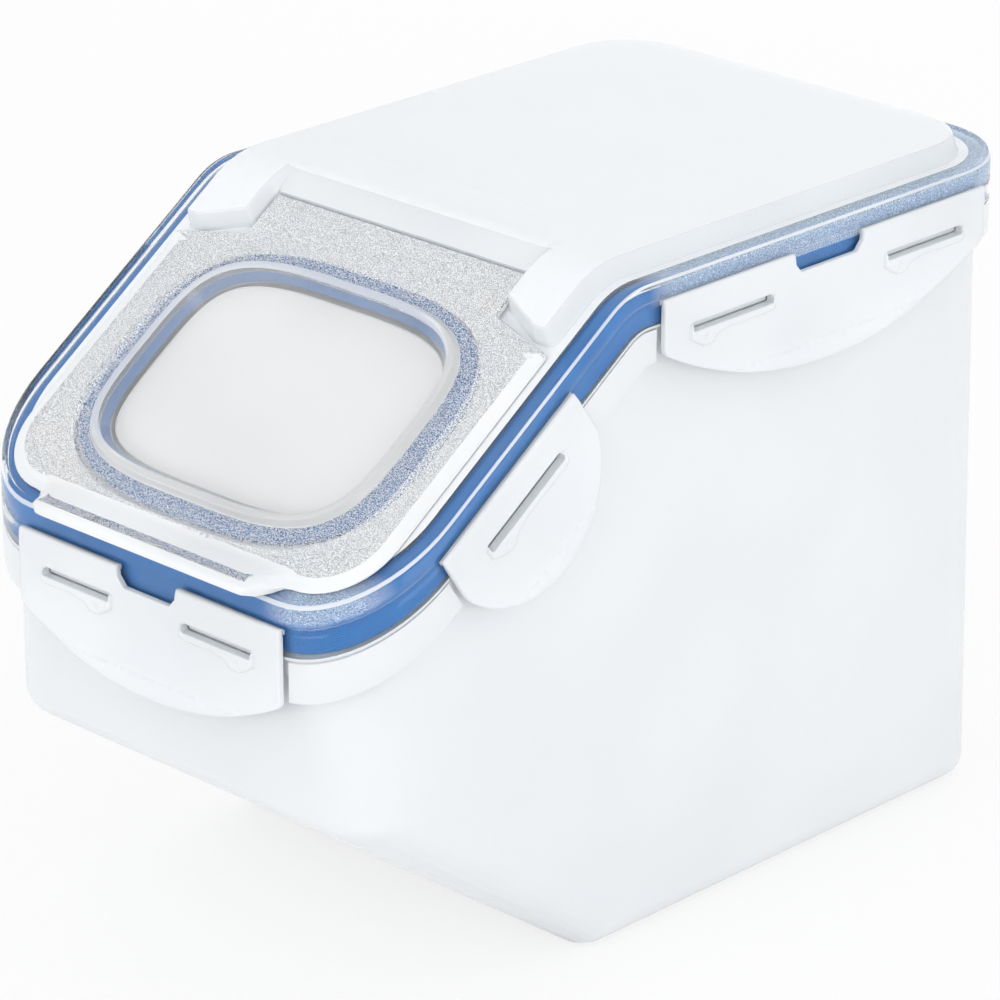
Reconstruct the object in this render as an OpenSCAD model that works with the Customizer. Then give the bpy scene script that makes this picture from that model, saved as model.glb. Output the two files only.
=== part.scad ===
// Rice bin with a sloping front, a clip-on lid and a flip-up pouring door.
// Lengths are in millimetres. The bin stands on z = 0 with its front towards -y.
// The rim runs level from the back to a bend, then slopes down to the front.
// Heights called "_h" on the lid and rim are measured square to that rim line.

/* [Rim] */
// Width across the rim of the lid
rim_w = 152; // [136:1:200]
// Depth of the rim in plan, from its front to its back
rim_depth = 254.1; // [240:0.1:300]
// Level part of the rim, from the bend to the back
top_run = 159; // [145:0.5:175]
// Height of the level hinge line above the floor
back_h = 179.3; // [165:0.1:240]
// Fall of the hinge line from the bend to the front
slope_drop = 65.4; // [58:0.1:72]
// Corner radius of the rim in plan
rim_corner_r = 30; // [26:0.5:34]
// Radius of the bend in the hinge line
bend_r = 18; // [16.5:0.5:22]

/* [Bin body] */
// Thickness of the walls and floor
wall_t = 2; // [1.4:0.1:3]
// Distance of the body wall behind the rim's outer face, at the rim
body_inset = 4.1; // [4:0.05:4.4]
// Narrowing of each side and of the back from the rim to the floor
body_taper = 3.2; // [1:0.1:6]
// Height of the lower edge of the front wall
chin_h = 58.7; // [45:0.1:75]
// Backward lean of the front wall from the rim to its lower edge
chin_lean = 2.9; // [1:0.1:6]
// Distance in plan from the front of the rim to the front edge of the floor
floor_setback = 90.7; // [75:0.1:105]
// Corner radius of the floor in plan
floor_corner_r = 9.5; // [8:0.5:14]
// Corner radius of the front wall's lower edge in plan
chin_corner_r = 18; // [14:0.5:22]
// Radius of the edge between walls and floor
floor_fillet = 7; // [4:0.5:7.5]
// Lower edge of the rib below the lid's skirt
rib_low_h = -10.7; // [-12:0.1:-9.5]
// Distance of the rib's face behind the rim's outer face
rib_inset = 1; // [0.6:0.1:2]
// Lower edge of the corner flanges
flange_low_h = -15.5; // [-17:0.1:-13]

/* [Lid] */
// Thickness of the lid's skirt
skirt_t = 1.6; // [1.2:0.1:1.8]
// Top edge of the skirt
skirt_top_h = 5.9; // [5.6:0.1:6.1]
// Lower edge of the skirt
skirt_low_h = -6.5; // [-7:0.1:-6.2]
// Upper face of the shelf inside the skirt
shelf_h = 5.4; // [5.2:0.05:5.5]
// Thickness of the shelf
shelf_t = 1.6; // [1.2:0.1:1.8]
// Upper face of the raised top
cap_h = 10.7; // [9.8:0.1:14]
// Distance of the raised top's edge inside the rim's outer face
cap_inset = 9.7; // [9.5:0.1:12]
// Thickness of the raised top
cap_t = 1.8; // [1.4:0.1:2.2]
// Distance of the inner rib's face inside the rim's outer face
channel_inset = 7.8; // [7.7:0.1:7.9]
// Thickness of the inner rib
channel_t = 1.4; // [1:0.1:1.6]
// Lower edge of the inner rib
channel_low_h = -3; // [-5:0.5:-1]

/* [Shoulders and recess] */
// Width of the recess between the two shoulders
recess_w = 92; // [86:1:98]
// Distance down the slope to the shoulders' outer front edge
shoulder_outer_s = 19.6; // [17.5:0.1:20]
// Distance down the slope to the shoulders' inner front edge
shoulder_inner_s = 12.9; // [11:0.1:14]
// Distance from the middle to the end of the shoulders' slanted front
shoulder_slant_x = 61; // [57:1:63]
// Distance down the slope to the foot of the ramp behind the door
ramp_foot_s = 2.2; // [1.6:0.1:2.4]
// Height of the foot of the ramp
ramp_foot_h = 7.1; // [6.4:0.1:7.6]

/* [Pour opening] */
// Distance up the slope from the rim's front to the middle of the opening
pour_margin = 56.9; // [55:0.1:59]
// Width of the opening
pour_w = 96; // [90:1:98]
// Height of the opening along the slope
pour_len = 69.2; // [64:0.1:72]
// Roundness of the opening's outline
pour_power = 3.3; // [2.6:0.1:4]
// Upper face of the ledge that the door's seal rests on
ledge_h = 3.4; // [3:0.1:3.6]
// Thickness of the ledge
ledge_t = 1.6; // [1.2:0.1:2]

/* [Flip door] */
// Width of the door
door_w = 135; // [128:1:137]
// Distance up the slope from the rim's front to the door's lower edge
door_margin = 8.7; // [8:0.1:11]
// Corner radius of the lower edge
door_corner_r = 20; // [14:1:24]
// Distance down the slope to the top edge at the sides
door_side_s = 23; // [22:0.1:25]
// Distance down the slope to the top edge beside the tongue
door_inner_s = 17; // [16.5:0.1:18]
// Height of the door's face
door_face_h = 7.4; // [7.1:0.1:7.8]
// Width of the sloping edge around the face
door_bevel = 4; // [2:0.1:5]
// Thickness of the door's plate
door_t = 1.7; // [1.4:0.1:1.9]
// Gap between the tongue and each side of the recess
tongue_gap = 0.5; // [0.3:0.1:0.8]
// Height of the raised ring around the window
ring_h = 9.5; // [8.6:0.1:10.5]
// Width of the raised ring
ring_w = 6; // [4:0.5:7]
// Width of the window
window_w = 88.4; // [82:0.1:89]
// Height of the window along the slope
window_len = 61.6; // [56:0.1:62]
// Roundness of the window's outline
window_power = 3.6; // [2.8:0.1:4]
// Upper face of the window
window_h = 4.5; // [4.2:0.1:5]
// Thickness of the window and of the wall around it
window_t = 1.6; // [1.2:0.1:1.8]
// Distance down the slope to the hinge pins
hinge_s = 4.1; // [4:0.05:4.4]
// Radius of the door's rounded hinge edge
hinge_edge_r = 1.1; // [1.05:0.05:1.2]
// Radius of the hinge pins
pin_r = 0.9; // [0.7:0.05:1]
// Running clearance of each pin in its hole
pin_clearance = 0.05; // [0.03:0.01:0.09]

/* [Finger lip] */
// Width of the finger lip
lip_w = 84; // [60:1:94]
// Distance of the lip's tip in front of the rim
lip_reach = 5.2; // [4:0.1:9]
// Height of the lip's top edge above the front hinge line
lip_rise = 11.5; // [11.2:0.1:13]
// Thickness of the lip
lip_t = 3.3; // [2.4:0.1:3.4]
// Distance from the door's lower edge to the root of the lip
lip_root = 3.8; // [3:0.1:8]

/* [Locking flaps] */
// Thickness of a flap
flap_t = 1.8; // [1.4:0.1:2.2]
// Gap between a closed flap and the rim
flap_gap = 0.3; // [0.25:0.05:0.5]
// Distance of the front and back flaps' ends from the rim's sides
end_flap_margin = 27.5; // [24:0.5:36]
// Depth of the front and back flaps' ends
end_flap_side = 20; // [16:0.5:24]
// Depth of the front and back flaps at the middle
end_flap_depth = 32.5; // [29:0.5:38]
// Length of each slot in the front and back flaps
end_slot_len = 25.3; // [20:0.1:28]
// Distance between the slots' middles in the front and back flaps
end_slot_pitch = 52.3; // [46:0.1:56]
// Distance of the upper side flaps from the bend
top_flap_start = 9.4; // [8:0.1:16]
// Distance of the upper side flaps from the back of the rim
top_flap_margin = 23.8; // [21:0.1:34]
// Depth of the upper side flaps' ends
top_flap_side = 13.7; // [13:0.1:18]
// Depth of the upper side flaps at the middle
top_flap_depth = 30.4; // [26:0.1:36]
// Length of each slot in the upper side flaps
top_slot_len = 30.5; // [24:0.5:36]
// Distance between the slots' middles in the upper side flaps
top_slot_pitch = 75.5; // [66:0.5:82]
// Distance of the sloping side flaps from the bend
slope_flap_start = 27.5; // [24:0.5:32]
// Distance of the sloping side flaps from the front of the rim
slope_flap_margin = 32; // [26:0.5:36]
// Depth of the sloping side flaps' ends
slope_flap_side = 14; // [12:0.5:18]
// Depth of the sloping side flaps at the middle
slope_flap_depth = 35; // [32:0.5:37]
// Length of the slot in the sloping side flaps
slope_slot_len = 31.4; // [26:0.1:38]
// Depth of the slots' upper edges below the hinge
slot_top = 7.6; // [7.2:0.1:8]
// Height of the slots
slot_h = 2.2; // [2:0.1:2.6]
// Clearance around each locking lug in its slot
lug_clearance = 0.3; // [0.2:0.05:0.5]
// Depth of the pads below the slots
pad_low = 12; // [11.4:0.1:13]
// Thickness of the pads on the flaps
pad_t = 0.9; // [0.5:0.1:1.4]
// Radius of the rounded bump on each pad
bump_r = 3.4; // [2.4:0.1:4]
// Height of the finger grip along each flap's lower edge
grip_h = 6.2; // [4:0.1:8]
// Thickness that the finger grip adds
grip_t = 0.6; // [0.3:0.1:1]
// Width of the notch in the front and back flaps' hinge edge
end_notch_w = 22; // [14:1:26]
// Width of the notch in the upper side flaps' hinge edge
top_notch_w = 27; // [18:1:34]
// Depth of the notches
notch_depth = 4.5; // [3:0.1:5.5]

/* [Seals] */
// Gap between a seal and what holds it
seal_gap = 0.1; // [0.05:0.01:0.15]
// Gap between a seal and what closes against it
seal_rest = 0.2; // [0.1:0.05:0.3]
// Thickness of the lid seal
lid_seal_t = 1.6; // [1.3:0.1:1.6]
// Lower edge of the lid seal behind the skirt
lid_seal_low_h = -6; // [-6.4:0.1:-4]
// Width of the door seal
door_seal_w = 113.8; // [108:0.1:114]
// Height of the door seal along the slope
door_seal_len = 82.4; // [78:0.1:83]
// Roundness of the door seal's outline
door_seal_power = 2.9; // [2.5:0.1:3.2]

/* [Hidden] */
$fn = 64;
hull_fn = 32;

// Side view of the rim
slope_run = rim_depth - top_run;
slope_angle = atan(slope_drop / slope_run);
slope_len = slope_run / cos(slope_angle);
front_h = back_h - slope_drop;
pour_s = slope_len - pour_margin;
door_low_s = slope_len - door_margin;

// Clearances and small offsets
move_gap = 0.3;
film_gap = 0.02;
film_h = 1.2;
post_rise = 8;
ledge_side = 1;
far = 400;
bend_steps = 12;

// Where the closed flaps turn, and how far the whole bin reaches
hinge_out = flap_gap + flap_t / 2;
flap_reach = flap_gap + flap_t + pad_t;
front_reach = max(lip_reach, flap_reach);
bend_y = (slope_run + front_reach - top_run - flap_reach) / 2;

// Heights that follow from the seals
shelf_low_h = shelf_h - shelf_t;
shelf_core_h = shelf_h - shelf_t / 2;
lid_seal_top_h = shelf_low_h - seal_gap;
lid_seal_web_h = lid_seal_top_h - lid_seal_t;
body_top_h = lid_seal_web_h - seal_rest;
lid_seal_inset = skirt_t + seal_gap;
lid_seal_leg_t = min(lid_seal_t, body_inset - lid_seal_inset - 2 * move_gap);
rib_top_h = skirt_low_h - move_gap;
door_low_h = door_face_h - door_t;
door_seal_top_h = door_low_h - seal_gap;
door_seal_low_h = ledge_h + seal_rest;

// Flap sizes
end_flap_len = rim_w - 2 * end_flap_margin;
top_flap_len = top_run - top_flap_start - top_flap_margin;
slope_flap_len = slope_len - slope_flap_start - slope_flap_margin;
top_flap_y = top_flap_start + top_flap_len / 2;
slope_flap_s = slope_flap_start + slope_flap_len / 2;
flap_end_gap = 1;

// Hinge line of the door, just above the shelf
hinge_h = shelf_h + 0.1 + hinge_edge_r;

// ---- The bent rim -------------------------------------------------------

// Point at a distance s down the slope and a height h square to it, as [y, z] from the bend
function slope_point(s, h) = [
    -s * cos(slope_angle) - h * sin(slope_angle),
    -s * sin(slope_angle) + h * cos(slope_angle)
];

// Curve of the bend at a height h, from the level part round to the slope
bend_tangent = bend_r * tan(slope_angle / 2);
function bend_curve(h) = [
    for (i = [0 : bend_steps])
        let (a = slope_angle * i / bend_steps)
            [bend_tangent - (bend_r + h) * sin(a), -bend_r + (bend_r + h) * cos(a)]
];

// Everything below the rim line raised by h, in side view from the bend
module under_rim(h, reach = far) {
    polygon(concat(
        [[reach, -reach], [reach, h]],
        bend_curve(h),
        [slope_point(reach, h), [-reach, -reach]]
    ));
}

// Outline of the rim in plan, moved inwards by inset
module rim_plan(inset) {
    r = rim_corner_r - inset;
    half = rim_w / 2 - rim_corner_r;
    back = top_run - rim_corner_r;
    front = -slope_run + rim_corner_r;
    translate([-half - r, front]) square([2 * (half + r), back - front]);
    translate([-half, front - r]) square([2 * half, back - front + 2 * r]);
    for (x = [-half, half], y = [front, back]) translate([x, y]) circle(r);
}

// Puts children drawn from the bend into the bin's frame
module at_bend() {
    translate([0, bend_y, back_h]) children();
}

// Puts children on the slope: +y up the slope, +z square out of it
module on_slope() {
    at_bend() rotate([slope_angle, 0, 0]) children();
}

// Sweeps a side view across the width
module across(width = 2 * far) {
    at_bend() rotate([90, 0, 90]) linear_extrude(width, center = true) children();
}

// Column over the rim's outline
module rim_column(inset) {
    at_bend() linear_extrude(2 * far, center = true) rim_plan(inset);
}

// Slab inside an inset of the rim, between two heights of the rim line
module rim_slab(inset, low_h, high_h) {
    difference() {
        intersection() {
            rim_column(inset);
            across() under_rim(high_h);
        }
        across(3 * far) under_rim(low_h, 2 * far);
    }
}

// Ring that follows the rim, between two insets and two heights
module rim_ring(outer_inset, inner_inset, low_h, high_h) {
    difference() {
        rim_slab(outer_inset, low_h, high_h);
        rim_column(inner_inset);
    }
}

// ---- Bin body -----------------------------------------------------------

rim_half = rim_w / 2 - body_inset;
post_z = back_h + post_rise;
chin_angle = atan(chin_h / (floor_setback - body_inset - chin_lean));

// Half width, back and front of the body at a height z above the floor
function body_half(z) = rim_half - body_taper * (1 - z / back_h);
function body_back(z) = top_run - body_inset - body_taper * (1 - z / back_h);
function chin_share(z) = (z - chin_h) / (front_h - chin_h);
function body_front(z) = -slope_run + body_inset + chin_lean * (1 - chin_share(z));
function back_corner_r(z) =
    floor_corner_r + (rim_corner_r - body_inset - floor_corner_r) * z / back_h;
function front_corner_r(z) =
    chin_corner_r + (rim_corner_r - rim_w / 2 + body_half(front_h) - chin_corner_r) * chin_share(z);

// Rounded foot of a corner
module corner_foot(corner_r, skin) {
    rotate_extrude($fn = hull_fn) translate([corner_r - floor_fillet, 0])
        intersection() {
            circle(floor_fillet - skin, $fn = hull_fn);
            translate([0, -floor_fillet]) square(2 * floor_fillet);
        }
}

// Convex body with its outside moved inwards by skin
module body_block(skin) {
    floor_y = -slope_run + floor_setback + floor_fillet * (tan(chin_angle / 2) - 1);
    chin_z = chin_h + floor_fillet * (1 - sin(chin_angle)) / cos(chin_angle);
    translate([0, bend_y, 0]) hull() for (side = [-1, 1]) {
        translate([side * (body_half(0) - floor_corner_r), floor_y + floor_corner_r, floor_fillet])
            corner_foot(floor_corner_r, skin);
        translate([side * (body_half(0) - floor_corner_r), body_back(0) - floor_corner_r, floor_fillet])
            corner_foot(floor_corner_r, skin);
        translate([side * (body_half(chin_h) - chin_corner_r), body_front(chin_h) + chin_corner_r, chin_z])
            corner_foot(chin_corner_r, skin);
        translate([
            side * (body_half(post_z) - back_corner_r(post_z)),
            body_back(post_z) - back_corner_r(post_z),
            post_z
        ])
            cylinder(r = back_corner_r(post_z) - skin, h = 1, $fn = 2 * hull_fn);
        translate([
            side * (body_half(post_z) - front_corner_r(post_z)),
            body_front(post_z) + front_corner_r(post_z),
            post_z
        ])
            cylinder(r = front_corner_r(post_z) - skin, h = 1, $fn = 2 * hull_fn);
    }
}

// Space that a flap closes over, cleared out of the corner flanges
module flange_gap(len) {
    translate([-len / 2 - flap_end_gap, -3 * slot_top, -rim_corner_r])
        cube([len + 2 * flap_end_gap, 3 * slot_top, 2 * rim_corner_r]);
}

// Locking lug that stands behind a slot
module lug(slot_len) {
    translate([
        -slot_len / 2 + lug_clearance,
        -slot_top - slot_h + lug_clearance,
        -hinge_out - body_inset - wall_t
    ])
        cube([slot_len - 2 * lug_clearance, slot_h - 2 * lug_clearance, body_inset + wall_t]);
}

module bin_body() {
    color("aliceblue") difference() {
        union() {
            intersection() {
                body_block(0);
                across() under_rim(body_top_h);
            }
            rim_ring(rib_inset, body_inset + wall_t, rib_low_h, rib_top_h);
            difference() {
                rim_ring(0, body_inset + wall_t, flange_low_h, rib_top_h);
                at_front_and_back() flange_gap(end_flap_len);
                for (side = [-1, 1]) {
                    at_top_side(side) flange_gap(top_flap_len);
                    at_slope_side(side) flange_gap(slope_flap_len);
                }
            }
            at_front_and_back()
                for (u = end_slots) translate([u, 0, 0]) lug(end_slot_len);
            for (side = [-1, 1]) {
                at_top_side(side)
                    for (u = top_slots) translate([u, 0, 0]) lug(top_slot_len);
                at_slope_side(side) lug(slope_slot_len);
            }
        }
        body_block(wall_t);
    }
}

// ---- Lid ----------------------------------------------------------------

// Column over the raised top, ending on the shoulders' slanted fronts
module shoulder_column(inset) {
    outer = -(shoulder_outer_s - inset);
    inner = -(shoulder_inner_s - inset);
    on_slope() linear_extrude(2 * far, center = true) polygon([
        [-far, far],
        [far, far],
        [far, outer],
        [shoulder_slant_x, outer],
        [recess_w / 2, inner],
        [-recess_w / 2, inner],
        [-shoulder_slant_x, outer],
        [-far, outer]
    ]);
}

// Ramp between the raised top and the foot behind the door
ramp_top = [0, cap_h];
ramp_foot = slope_point(ramp_foot_s, ramp_foot_h);
ramp_dir = (ramp_top - ramp_foot) / norm(ramp_top - ramp_foot);

// Recess between the shoulders, down to a height, with its ramp moved back by shift
module recess(width, floor_h, shift) {
    back = shift * [ramp_dir[1], -ramp_dir[0]];
    foot = slope_point(ramp_foot_s - shift, floor_h);
    across(width) polygon([
        ramp_top + back + 2 * cap_h * ramp_dir,
        ramp_foot + back,
        foot,
        slope_point(2 * shoulder_outer_s, floor_h),
        slope_point(2 * shoulder_outer_s, 3 * cap_h)
    ]);
}

// Hollow under the raised top
module cap_hollow() {
    difference() {
        intersection() {
            across() under_rim(cap_h - cap_t);
            rim_column(cap_inset + cap_t);
            shoulder_column(cap_t);
        }
        recess(recess_w + 2 * cap_t, -cap_h, cap_t);
    }
}

// Round-cornered outline that bulges between an ellipse and a rectangle
function oval(width, length, power, steps = 72) = [
    for (i = [0 : steps - 1])
        let (a = 360 * i / steps, c = cos(a), s = sin(a))
            [width / 2 * sign(c) * pow(abs(c), 2 / power),
             length / 2 * sign(s) * pow(abs(s), 2 / power)]
];

// Upright oval solid on the slope, between two heights
module oval_block(width, length, power, low_h, high_h) {
    on_slope() translate([0, -pour_s, low_h])
        linear_extrude(high_h - low_h) polygon(oval(width, length, power));
}

ledge_w = door_seal_w + 2 * (move_gap + ledge_side);
ledge_len = door_seal_len + 2 * (move_gap + ledge_side);

module main_lid() {
    color("white") difference() {
        union() {
            rim_ring(0, skirt_t, skirt_low_h, skirt_top_h);
            rim_slab(skirt_t / 2, shelf_low_h, shelf_h);
            rim_ring(channel_inset, channel_inset + channel_t, channel_low_h, shelf_core_h);
            difference() {
                intersection() {
                    rim_slab(cap_inset, shelf_core_h - shelf_t / 4, cap_h);
                    shoulder_column(0);
                }
                recess(recess_w, shelf_core_h, 0);
            }
            oval_block(ledge_w + 2 * ledge_t, ledge_len + 2 * ledge_t, door_seal_power,
                ledge_h - ledge_t, shelf_core_h);
        }
        cap_hollow();
        oval_block(ledge_w, ledge_len, door_seal_power, ledge_h, cap_h);
        oval_block(pour_w, pour_len, pour_power, -cap_h, cap_h);
        on_slope() translate([0, -hinge_s, hinge_h]) rotate([0, 90, 0])
            cylinder(r = pin_r + pin_clearance, h = recess_w + 4 * cap_t, center = true);
    }
}

module lid_gasket() {
    color("cornflowerblue") {
        rim_ring(lid_seal_inset, channel_inset - seal_gap, lid_seal_web_h, lid_seal_top_h);
        rim_ring(lid_seal_inset, lid_seal_inset + lid_seal_leg_t, lid_seal_low_h,
            lid_seal_web_h + lid_seal_t / 2);
    }
}

// ---- Flip door ----------------------------------------------------------

tongue_w = recess_w - 2 * tongue_gap;
tongue_t = ramp_foot_h - door_low_h;

// Outline of the door below its tongue, moved inwards at the sides and the lower edge
module door_outline(inset) {
    half = door_w / 2 - inset;
    low = door_low_s - inset;
    r = door_corner_r - inset;
    polygon(concat(
        [[-half, -door_side_s], [-tongue_w / 2, -door_inner_s],
         [tongue_w / 2, -door_inner_s], [half, -door_side_s]],
        [for (a = [0 : -7.5 : -90]) [half - r + r * cos(a), -low + r + r * sin(a)]],
        [for (a = [-90 : -7.5 : -180]) [-half + r + r * cos(a), -low + r + r * sin(a)]]
    ));
}

// Profile of the lip in side view, from the door's face to its tip in front of the rim
module finger_lip() {
    tip_y = -slope_run - lip_reach;
    top_z = lip_rise - slope_drop;
    across(lip_w) polygon([
        slope_point(door_low_s - lip_root, door_face_h),
        [tip_y + lip_t / 3, top_z],
        [tip_y, top_z - lip_t],
        [-slope_run - move_gap, top_z - lip_t],
        slope_point(door_low_s, door_low_h),
        slope_point(door_low_s - lip_root, door_low_h)
    ]);
}

module flip_door() {
    color("ghostwhite") {
        difference() {
            union() {
                on_slope() hull() {
                    translate([0, 0, door_low_h]) linear_extrude(door_t / 8) door_outline(0);
                    translate([0, 0, door_face_h - door_t / 8])
                        linear_extrude(door_t / 8) door_outline(door_bevel);
                }
                on_slope() translate([-tongue_w / 2, -door_inner_s - door_bevel, door_low_h])
                    cube([tongue_w, door_inner_s + door_bevel - hinge_s, tongue_t]);
                finger_lip();
                oval_block(window_w + 2 * ring_w, window_len + 2 * ring_w, window_power, door_low_h, ring_h);
                oval_block(window_w + 2 * window_t, window_len + 2 * window_t, window_power,
                    window_h - window_t, ring_h);
            }
            oval_block(window_w, window_len, window_power, window_h, 2 * ring_h);
        }
        on_slope() translate([0, -hinge_s, hinge_h]) rotate([0, 90, 0]) {
            cylinder(r = hinge_edge_r, h = tongue_w, center = true);
            cylinder(r = pin_r, h = recess_w + 2 * cap_t, center = true);
        }
    }
}

module door_gasket() {
    color("cornflowerblue") difference() {
        oval_block(door_seal_w, door_seal_len, door_seal_power, door_seal_low_h, door_seal_top_h);
        oval_block(window_w + 2 * window_t + 2 * seal_gap, window_len + 2 * window_t + 2 * seal_gap,
            window_power, 0, cap_h);
    }
}

// ---- Locking flaps ------------------------------------------------------
// A flap is drawn round its hinge line: x along it, -y down the flap, +z outwards.

end_slots = [-end_slot_pitch / 2, end_slot_pitch / 2];
top_slots = [-top_slot_pitch / 2, top_slot_pitch / 2];

module at_front_and_back() {
    at_front() children();
    at_back() children();
}

module at_front() {
    translate([0, bend_y - slope_run - hinge_out, front_h]) rotate([90, 0, 0]) children();
}

module at_back() {
    translate([0, bend_y + top_run + hinge_out, back_h]) rotate([90, 0, 180]) children();
}

// Side hinge lines: side is 1 on the right and -1 on the left, where the flap is mirrored
module at_top_side(side) {
    mirror([side < 0 ? 1 : 0, 0, 0]) at_bend()
        translate([rim_w / 2 + hinge_out, top_flap_y, 0]) rotate([90, 0, 90]) children();
}

module at_slope_side(side) {
    mirror([side < 0 ? 1 : 0, 0, 0]) on_slope()
        translate([rim_w / 2 + hinge_out, -slope_flap_s, 0]) rotate([90, 0, 90]) children();
}

// Outline of a flap: straight ends and an arc along the bottom
module flap_outline(len, side_depth, depth) {
    sag = depth - side_depth;
    arc_r = (len * len / 4 + sag * sag) / (2 * sag);
    intersection() {
        translate([-len / 2, -depth]) square([len, depth]);
        translate([0, arc_r - depth]) circle(arc_r, $fn = 3 * $fn);
    }
}

// Raised pad below a slot, with a rounded bump near one end
module slot_pad(slot_len, bump_side) {
    pad_h = pad_low - slot_top - slot_h;
    translate([-slot_len / 2, -pad_low]) square([slot_len, pad_h]);
    translate([bump_side * (slot_len / 2 - 1.5 * bump_r), -pad_low + bump_r / 4]) circle(bump_r);
}

module flap(len, side_depth, depth, slots, slot_len, bump_side, notch_w) {
    difference() {
        union() {
            rotate([0, 90, 0]) cylinder(d = flap_t, h = len, center = true);
            translate([0, 0, -flap_t / 2]) linear_extrude(flap_t)
                flap_outline(len, side_depth, depth);
            linear_extrude(flap_t / 2 + pad_t)
                for (u = slots) translate([u, 0]) slot_pad(slot_len, bump_side);
            linear_extrude(flap_t / 2 + grip_t) intersection() {
                flap_outline(len, side_depth, depth);
                translate([-len / 2, -depth]) square([len, grip_h]);
            }
        }
        for (u = slots)
            translate([u - slot_len / 2, -slot_top - slot_h, -flap_t]) cube([slot_len, slot_h, 2 * flap_t]);
        if (notch_w > 0)
            translate([-notch_w / 2, -notch_depth, -flap_t]) cube([notch_w, 2 * notch_depth, 2 * flap_t]);
    }
}

module end_flap() {
    color("white")
        flap(end_flap_len, end_flap_side, end_flap_depth, end_slots, end_slot_len, 1, end_notch_w);
}

module top_flap() {
    color("white")
        flap(top_flap_len, top_flap_side, top_flap_depth, top_slots, top_slot_len, -1, top_notch_w);
}

module slope_flap() {
    color("white")
        flap(slope_flap_len, slope_flap_side, slope_flap_depth, [0], slope_slot_len, -1, 0);
}

// Thin folding web between the skirt and a flap's hinge edge
module film_hinge(len, notch_w) {
    color("gainsboro") translate([0, 0, -hinge_out + film_gap]) difference() {
        translate([-len / 2, -film_h / 2, 0]) cube([len, film_h, flap_gap - 2 * film_gap]);
        if (notch_w > 0)
            translate([-notch_w / 2, -film_h, -film_h]) cube([notch_w, 2 * film_h, 2 * film_h]);
    }
}

// ---- Pieces in place ----------------------------------------------------

bin_body();
main_lid();
lid_gasket();
flip_door();
door_gasket();
at_front() end_flap();  // front_flap
at_back() end_flap();  // back_flap
at_top_side(1) top_flap();  // right_top_flap
at_top_side(-1) top_flap();  // left_top_flap
at_slope_side(1) slope_flap();  // right_slope_flap
at_slope_side(-1) slope_flap();  // left_slope_flap
at_front() film_hinge(end_flap_len, end_notch_w);  // front_film_hinge
at_back() film_hinge(end_flap_len, end_notch_w);  // back_film_hinge
at_top_side(1) film_hinge(top_flap_len, top_notch_w);  // right_top_film_hinge
at_top_side(-1) film_hinge(top_flap_len, top_notch_w);  // left_top_film_hinge
at_slope_side(1) film_hinge(slope_flap_len, 0);  // right_slope_film_hinge
at_slope_side(-1) film_hinge(slope_flap_len, 0);  // left_slope_film_hinge
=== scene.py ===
import math

import bmesh
import bpy
import numpy as np
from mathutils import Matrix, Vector
from mathutils.geometry import delaunay_2d_cdt


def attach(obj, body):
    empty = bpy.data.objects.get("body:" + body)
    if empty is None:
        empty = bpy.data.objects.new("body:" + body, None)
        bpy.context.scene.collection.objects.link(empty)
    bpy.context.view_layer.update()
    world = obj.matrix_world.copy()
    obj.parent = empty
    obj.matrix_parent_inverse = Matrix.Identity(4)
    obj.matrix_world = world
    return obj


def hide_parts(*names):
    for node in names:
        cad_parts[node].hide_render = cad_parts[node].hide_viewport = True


# The rice bin's looks. Lengths are in millimetres until a mesh or a node takes them in metres.
# Sizes repeat those of the CAD source. A height h is square to the rim line, which bends once.
# Places along the rim line are given by
#   y  in plan, from the bend towards the back
#   t  along the line: y on the level part, then falling on down the slope
#   s  down the slope, from where the level and the sloping line would meet

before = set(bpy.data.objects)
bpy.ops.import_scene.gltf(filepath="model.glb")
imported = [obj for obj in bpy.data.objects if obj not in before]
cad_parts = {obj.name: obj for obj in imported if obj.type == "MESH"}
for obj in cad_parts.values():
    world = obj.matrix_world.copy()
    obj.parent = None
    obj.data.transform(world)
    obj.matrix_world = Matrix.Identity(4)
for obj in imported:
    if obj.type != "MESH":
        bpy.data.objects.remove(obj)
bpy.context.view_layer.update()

MM = 0.001

# ---- Sizes shared with the CAD source -----------------------------------

RIM_W, RIM_DEPTH, TOP_RUN, BACK_H, DROP = 152.0, 254.1, 159.0, 179.3, 65.4
CORNER_R, BEND_R = 30.0, 18.0
HALF = RIM_W / 2
SLOPE_RUN = RIM_DEPTH - TOP_RUN
ANGLE = math.atan(DROP / SLOPE_RUN)
COS, SIN, TAN = math.cos(ANGLE), math.sin(ANGLE), math.tan(ANGLE)
SLOPE_LEN = SLOPE_RUN / COS
FRONT_PROUD, BACK_PROUD = 5.2, 3.0
BEND_Y = (SLOPE_RUN + FRONT_PROUD - TOP_RUN - BACK_PROUD) / 2
BEND_T = BEND_R * math.tan(ANGLE / 2)
HINGE_OUT = 1.2

SKIRT_T, SKIRT_LOW = 1.6, -6.5
SHELF, SHELF_T = 5.4, 1.6
SHELF_LOW = SHELF - SHELF_T
CAP, CAP_T, CAP_FOOT = 10.7, 1.8, 8.8
CHANNEL, CHANNEL_T, CHANNEL_LOW = 7.8, 1.4, -3.0
CHANNEL_IN = CHANNEL + CHANNEL_T
RECESS_W, SHOULDER_OUT, SHOULDER_IN, SLANT_X = 92.0, 19.6, 12.9, 61.0
POUR_S, POUR_W, POUR_LEN, POUR_POWER = SLOPE_LEN - 56.9, 96.0, 69.2, 3.3
LEDGE, LEDGE_T = 3.4, 1.6
LEDGE_W, LEDGE_LEN = 116.4, 85.0
SEAL_W, SEAL_LEN, SEAL_POWER = 113.8, 82.4, 2.9

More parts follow.
